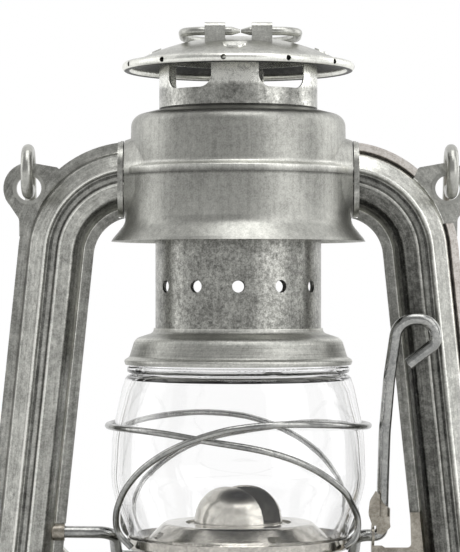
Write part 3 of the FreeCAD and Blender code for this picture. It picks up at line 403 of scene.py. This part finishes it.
# %% Tank
tank_tin = bare_metal("pressed tinned steel, tank", 0.64,
                      patch=(8, 0.1), mottle=(1.3, 0.12), grit=(0.4, 0.12),
                      stretch=(0.06, 0.06, 1.2), streak_share=0.08, roughness=(0.48, 0.34))
spring_steel = bare_metal("spring steel", 0.5,
                          patch=(5, 0.06), mottle=(1.0, 0.06), grit=(0.3, 0.04), roughness=(0.36, 0.28))
dress(tank_tin, "tank_pan", "tank_lid", "tank_seam", "air_chamber_cover", "filler_neck", "filler_cap")
dress(spring_steel, "chimney_spring")

# %% [markdown]
# ## Glass
# The globe is clear blown glass. Its walls take no colour to speak of. What shows is its bent edge,
# which turns the white background grey, and the folds of light where it narrows below the chimney.

# %% Globe glass
glass, tree = new_material("clear blown glass")
shader = add(tree, "BsdfPrincipled", Base_Color=colour("#ffffff"), Roughness=0.0, IOR=1.47,
             Transmission_Weight=1.0)
add(tree, "OutputMaterial", shader)
dress(glass, "globe")

# %% [markdown]
# ## The filler cap's gasket
# A ring of black rubber is cut from sheet, so it is matt, with a fine grain. It is hidden under the
# cap, and its grain is drawn at two thirds of a millimetre so that a close view can show it.

# %% Gasket rubber
rubber, tree = new_material("nitrile rubber, gasket")
spot = add(tree, "TexCoord").outputs["Object"]
grain = add(tree, "TexNoise", Vector=spot, Scale=1500.0, Detail=2.0)
ramp = add(tree, "ValToRGB", grain, stops=[(0.3, "#141414"), (0.7, "#222221")])
bump = add(tree, "Bump", Height=grain, Strength=0.4, Distance=0.00002)
shader = add(tree, "BsdfPrincipled", Base_Color=ramp, Roughness=0.7, IOR=1.52, Normal=bump)
add(tree, "OutputMaterial", shader)
dress(rubber, "filler_gasket")

# %% [markdown]
# ## The wick
# The wick is a flat woven cotton band. Its warp runs up the band in cords, and each weft thread goes
# over one cord and under the next, so the surface is a field of small swellings. A formula gives the
# height of that field at every point, which no primitive could, so the band is made row by row.

# %% Wick shape, in metres
wick_width = 0.0090
wick_thick = 0.0018
wick_low = 0.0096
wick_high = 0.0586
wick_turn = math.radians(-36)
cord = 0.0009
weft = 0.0011
swelling = 0.00010
steps_along = 4 * round((wick_high - wick_low) / weft)
steps_round = 96
end_curve = 0.35
side_curve = 0.6
swelling_lean = Vector((0.2, 1.0))

rings = []
for row in range(steps_along + 1):
    height = wick_low + (wick_high - wick_low) * row / steps_along
    ring = []
    for number in range(steps_round):
        angle = 2 * math.pi * number / steps_round
        side = Vector((math.copysign(abs(math.cos(angle)) ** end_curve, math.cos(angle)),
                       math.copysign(abs(math.sin(angle)) ** side_curve, math.sin(angle))))
        place = Vector((side.x * wick_width / 2, side.y * wick_thick / 2))
        over = math.cos(math.pi * place.x / cord) * math.cos(math.pi * height / weft)
        place -= swelling_lean * swelling * (1 - over) / 2 * math.copysign(1, side.y)
        ring.append((place.x * math.cos(wick_turn) - place.y * math.sin(wick_turn),
                     place.x * math.sin(wick_turn) + place.y * math.cos(wick_turn), height))
    rings.append(ring)
points = [point for ring in rings for point in ring]
faces = [tuple(range(steps_round))[::-1],
         tuple(steps_along * steps_round + number for number in range(steps_round))]
for row in range(steps_along):
    for number in range(steps_round):
        after = (number + 1) % steps_round
        faces.append((row * steps_round + number, row * steps_round + after,
                      (row + 1) * steps_round + after, (row + 1) * steps_round + number))
mesh = bpy.data.meshes.new("woven_wick")
mesh.from_pydata(points, [], faces)
mesh.polygons.foreach_set("use_smooth", [True] * len(faces))
wick = bpy.data.objects.new("woven_wick", mesh)
bpy.context.collection.objects.link(wick)
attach(wick, "wick")
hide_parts("wick")
print("wick", len(points), "points,", len(faces), "faces")

# %% [markdown]
# ## Cotton
# Cotton is matt and off-white, and scatters light among its loose fibres, which gives a soft sheen at
# the edges. The flame has charred the last few millimetres.

# %% Wick material
char_starts = wick_high - 0.0035
char_full = wick_high - 0.001
cotton, tree = new_material("woven cotton, wick")
spot = add(tree, "TexCoord").outputs["Object"]
fibre = add(tree, "TexNoise", Vector=spot, Scale=3200.0, Detail=3.0)
height = add(tree, "SeparateXYZ", spot).outputs["Z"]
char = add(tree, "MapRange", height, char_starts, char_full, 0.0, 0.8)
level = add(tree, "Math", fibre, char, operation="SUBTRACT")
ramp = add(tree, "ValToRGB", level, stops=[(0.0, "#15120f"), (0.3, "#a89d86"), (0.6, "#e9e2cf")])
bump = add(tree, "Bump", Height=fibre, Strength=0.6, Distance=0.00004)
shader = add(tree, "BsdfPrincipled", Base_Color=ramp, Roughness=0.9, IOR=1.53, Sheen_Weight=0.3,
             Normal=bump)
add(tree, "OutputMaterial", shader)
wick.data.materials.append(cotton)
print(cotton.name, "on", wick.name)

# %% [markdown]
# ## Background, floor and light
# A product photograph is taken against white paper. The world is plain white where the camera, the
# glass and the metal look towards the paper. In front of the lantern is the darker room, which gives
# polished metal its dark side. The floor is white paper that keeps the lantern's shadow near it and
# runs out to plain white behind.

# %% World
room_light = 0.42
room_edge = -0.2
paper_edge = 0.35

world = bpy.data.worlds.new("white studio")
bpy.context.scene.world = world
world.use_nodes = True
tree = world.node_tree
tree.nodes.clear()
path = add(tree, "LightPath")
way = add(tree, "SeparateXYZ", add(tree, "TexCoord").outputs["Generated"])
paper = add(tree, "MapRange", way.outputs["Y"], room_edge, paper_edge, room_light, 1.0)
seen = add(tree, "Math", path.outputs["Is Camera Ray"], path.outputs["Is Transmission Ray"],
           operation="MAXIMUM")
soft = add(tree, "Math", path.outputs["Is Glossy Ray"], paper, operation="MULTIPLY")
soft = add(tree, "Math", seen, soft, operation="MAXIMUM")
level = add(tree, "Math", soft, room_light, operation="MAXIMUM")
light = add(tree, "Background", Color=colour("#ffffff"), Strength=level)
add(tree, "OutputWorld", light)
print(world.name, "lights the lantern at", room_light)

# %% Floor, in metres
floor_radius = 2.5
shadow_reach = 0.17
plain_reach = 0.38

bpy.ops.object.select_all(action="DESELECT")
bpy.ops.mesh.primitive_circle_add(vertices=96, radius=floor_radius, fill_type="NGON")
floor = bpy.context.object
floor.name = "paper floor"
material, tree = new_material("white paper")
spot = add(tree, "TexCoord").outputs["Object"]
reach = add(tree, "VectorMath", spot, operation="LENGTH").outputs["Value"]
far = add(tree, "MapRange", reach, shadow_reach, plain_reach, 0.0, 1.0, interpolation_type="SMOOTHSTEP")
path = add(tree, "LightPath")
seen = add(tree, "Math", path.outputs["Is Camera Ray"], path.outputs["Is Transmission Ray"],
           operation="MAXIMUM")
seen = add(tree, "Math", seen, path.outputs["Is Glossy Ray"], operation="MAXIMUM")
share = add(tree, "Math", seen, far, operation="MULTIPLY")
paper = add(tree, "BsdfDiffuse", colour("#f7f7f7"))
white = add(tree, "Emission", colour("#ffffff"), 1.0)
mix = add(tree, "MixShader", share, paper, white)
add(tree, "OutputMaterial", mix)
floor.data.materials.append(material)
print(floor.name, "keeps the shadow to", shadow_reach, "m and is plain from", plain_reach, "m")

# %% [markdown]
# ## The lamps
# One large softbox stands to the right of the camera and makes the long bright bands on the hood and
# cup. A weaker one on each side lights the tubes' edges, and one above lights the dome and ledges.

# %% Lamps
lit_point = Vector((0, 0, 0.12))


def softbox(name, azimuth, elevation, distance, width, height, power):
    """A rectangular lamp turned to the middle of the lantern. Azimuth 0 is the front, 90 the right."""
    turn = math.radians(azimuth)
    tilt = math.radians(elevation)
    away = Vector((math.sin(turn) * math.cos(tilt), -math.cos(turn) * math.cos(tilt), math.sin(tilt)))
    place = lit_point + distance * away
    aim = (lit_point - place).to_track_quat("-Z", "Y").to_euler()
    bpy.ops.object.light_add(type="AREA", location=place, rotation=aim)
    lamp = bpy.context.object
    lamp.name = name
    lamp.data.shape = "RECTANGLE"
    lamp.data.size = width
    lamp.data.size_y = height
    lamp.data.energy = power
    print(name, [round(c, 2) for c in place])


softbox("key softbox", 50, 22, 1.2, 0.9, 1.2, 4.6)
softbox("right softbox", 112, 8, 1.1, 0.6, 1.2, 2.6)
softbox("left softbox", -100, 10, 1.1, 0.6, 1.2, 1.8)
softbox("top softbox", 20, 72, 1.1, 0.8, 0.8, 4.5)
